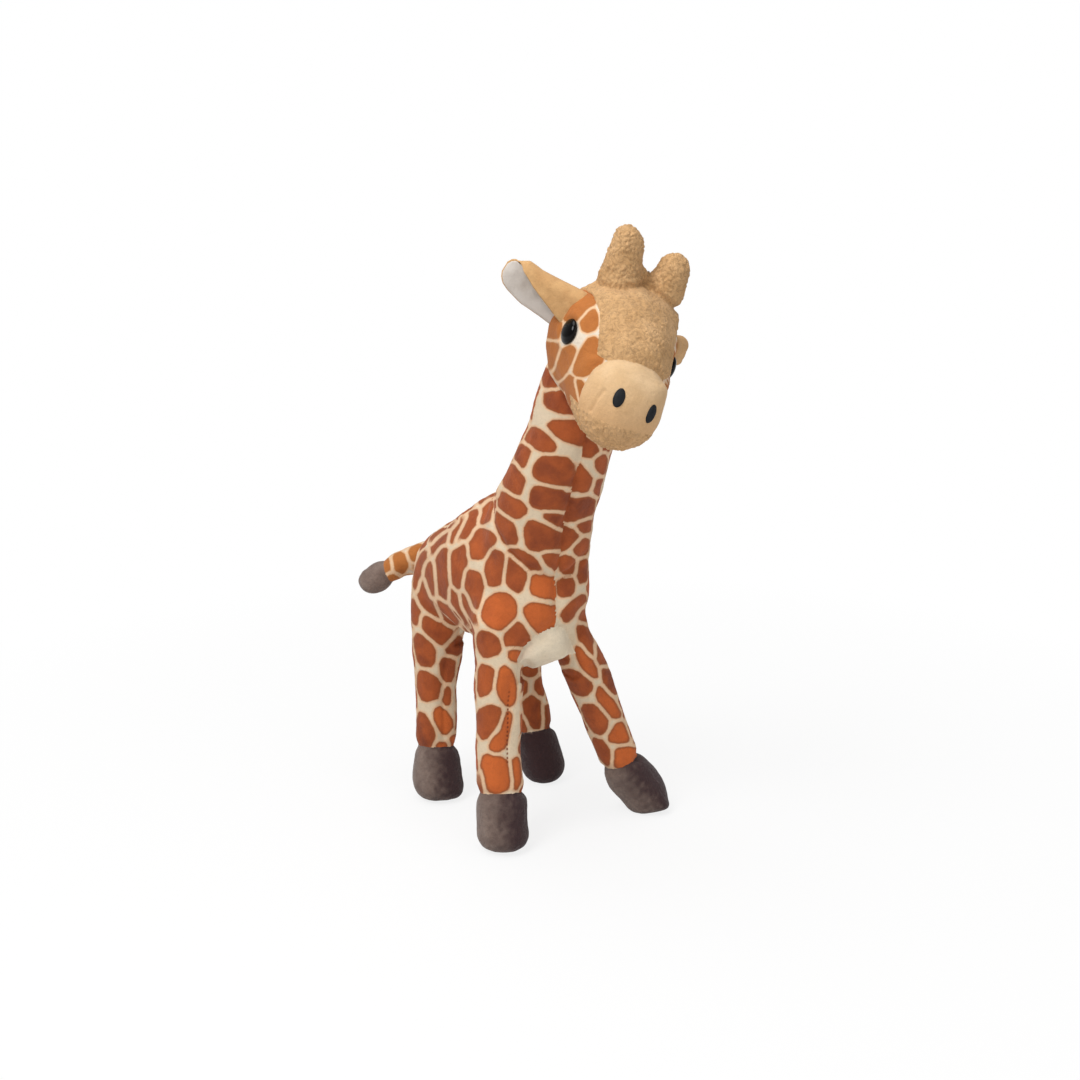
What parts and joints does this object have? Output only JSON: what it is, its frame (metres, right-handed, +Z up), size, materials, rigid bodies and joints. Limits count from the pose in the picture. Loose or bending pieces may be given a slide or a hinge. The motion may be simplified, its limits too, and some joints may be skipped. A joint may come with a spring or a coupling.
{
  "type": "plush giraffe",
  "caption": "standing stuffed plush giraffe with a long leaning neck, turned head, stub horns, splayed legs, a thin tail and a net-pattern print",
  "frame": {"origin": "on the ground, under the centre of the toy's bounding box", "axes": "+Z up, the chest faces -Y, +X is the giraffe's left"},
  "size_m": [0.1164, 0.2184, 0.2976],
  "materials": {
    "printed_plush": "short-pile plush printed with reddish-brown patches on a cream net",
    "bright_printed_plush": "the same print on a brighter orange-brown lot of plush",
    "tan_plush": "longer, fuzzy tan pile",
    "muzzle_plush": "short smooth pale tan pile",
    "cream_plush": "short off-white pile",
    "dark_plush": "short grey-brown pile",
    "ear_lining": "smooth white tricot",
    "filling": "white polyester fibre",
    "nostril_thread": "glossy black satin stitch",
    "eye_gloss": "polished black",
    "washer": "natural nylon"
  },
  "bodies": {
    "torso": {"torso_panel_left": "printed_plush", "torso_panel_right": "printed_plush", "belly_panel": "cream_plush", "torso_filling": "filling"},
    "neck": {"neck_panel_left": "printed_plush", "neck_panel_right": "printed_plush", "neck_filling": "filling"},
    "head": {"head_cover": "bright_printed_plush", "forehead_panel": "tan_plush", "muzzle": "muzzle_plush", "chin_panel": "tan_plush", "head_filling": "filling", "eye_left": "eye_gloss", "eye_right": "eye_gloss", "eye_washer_left": "washer", "eye_washer_right": "washer", "nostril_left": "nostril_thread", "nostril_right": "nostril_thread", "horn_left": "tan_plush", "horn_right": "tan_plush", "horn_filling_left": "filling", "horn_filling_right": "filling"},
    "tail": {"tail_cover": "bright_printed_plush", "tail_tip": "dark_plush", "tail_filling": "filling"},
    "ear_left": {"ear_back_left": "tan_plush", "ear_lining_left": "ear_lining"},
    "ear_right": {"ear_back_right": "tan_plush", "ear_lining_right": "ear_lining"},
    "leg_front_right": {"leg_cover_front_right": "printed_plush", "hoof_front_right": "dark_plush", "leg_filling_front_right": "filling"},
    "leg_front_left": {"leg_cover_front_left": "printed_plush", "hoof_front_left": "dark_plush", "leg_filling_front_left": "filling"},
    "leg_hind_right": {"leg_cover_hind_right": "printed_plush", "hoof_hind_right": "dark_plush", "leg_filling_hind_right": "filling"},
    "leg_hind_left": {"leg_cover_hind_left": "printed_plush", "hoof_hind_left": "dark_plush", "leg_filling_hind_left": "filling"}
  },
  "joints": [
    {"name": "neck_bend", "type": "hinge", "parent": "torso", "child": "neck", "pos_m": [-0.01397, -0.00421, 0.136], "axis": [1, 0, 0], "range_deg": [-10, 10], "stiffness_Nm_per_rad": 0.9},
    {"name": "head_turn", "type": "hinge", "parent": "neck", "child": "head", "pos_m": [-0.00956, -0.04365, 0.2244], "axis": [0.0757, -0.4063, 0.9106], "range_deg": [-20, 20], "stiffness_Nm_per_rad": 0.3},
    {"name": "ear_flop_right", "type": "hinge", "parent": "head", "child": "ear_right", "pos_m": [-0.02537, -0.05755, 0.26345], "axis": [0.3176, -0.2313, 0.9196], "range_deg": [-25, 25], "stiffness_Nm_per_rad": 0.02},
    {"name": "ear_flop_left", "type": "hinge", "parent": "head", "child": "ear_left", "pos_m": [0.02184, -0.06655, 0.24488], "axis": [0.3176, -0.2313, 0.9196], "range_deg": [-25, 25], "stiffness_Nm_per_rad": 0.02},
    {"name": "tail_swing", "type": "hinge", "parent": "torso", "child": "tail", "pos_m": [-0.01421, 0.07515, 0.12557], "axis": [0, 0, 1], "range_deg": [-25, 25], "stiffness_Nm_per_rad": 0.05},
    {"name": "leg_swing_front_right", "type": "hinge", "parent": "torso", "child": "leg_front_right", "pos_m": [-0.03502, -0.01282, 0.089], "axis": [1, 0, 0], "range_deg": [-16, 16], "stiffness_Nm_per_rad": 0.7},
    {"name": "leg_swing_front_left", "type": "hinge", "parent": "torso", "child": "leg_front_left", "pos_m": [0.00867, -0.01438, 0.089], "axis": [1, 0, 0], "range_deg": [-16, 16], "stiffness_Nm_per_rad": 0.7},
    {"name": "leg_swing_hind_right", "type": "hinge", "parent": "torso", "child": "leg_hind_right", "pos_m": [-0.03668, 0.05249, 0.089], "axis": [1, 0, 0], "range_deg": [-16, 16], "stiffness_Nm_per_rad": 0.7},
    {"name": "leg_swing_hind_left", "type": "hinge", "parent": "torso", "child": "leg_hind_left", "pos_m": [0.00808, 0.04936, 0.089], "axis": [1, 0, 0], "range_deg": [-16, 16], "stiffness_Nm_per_rad": 0.7}
  ]
}
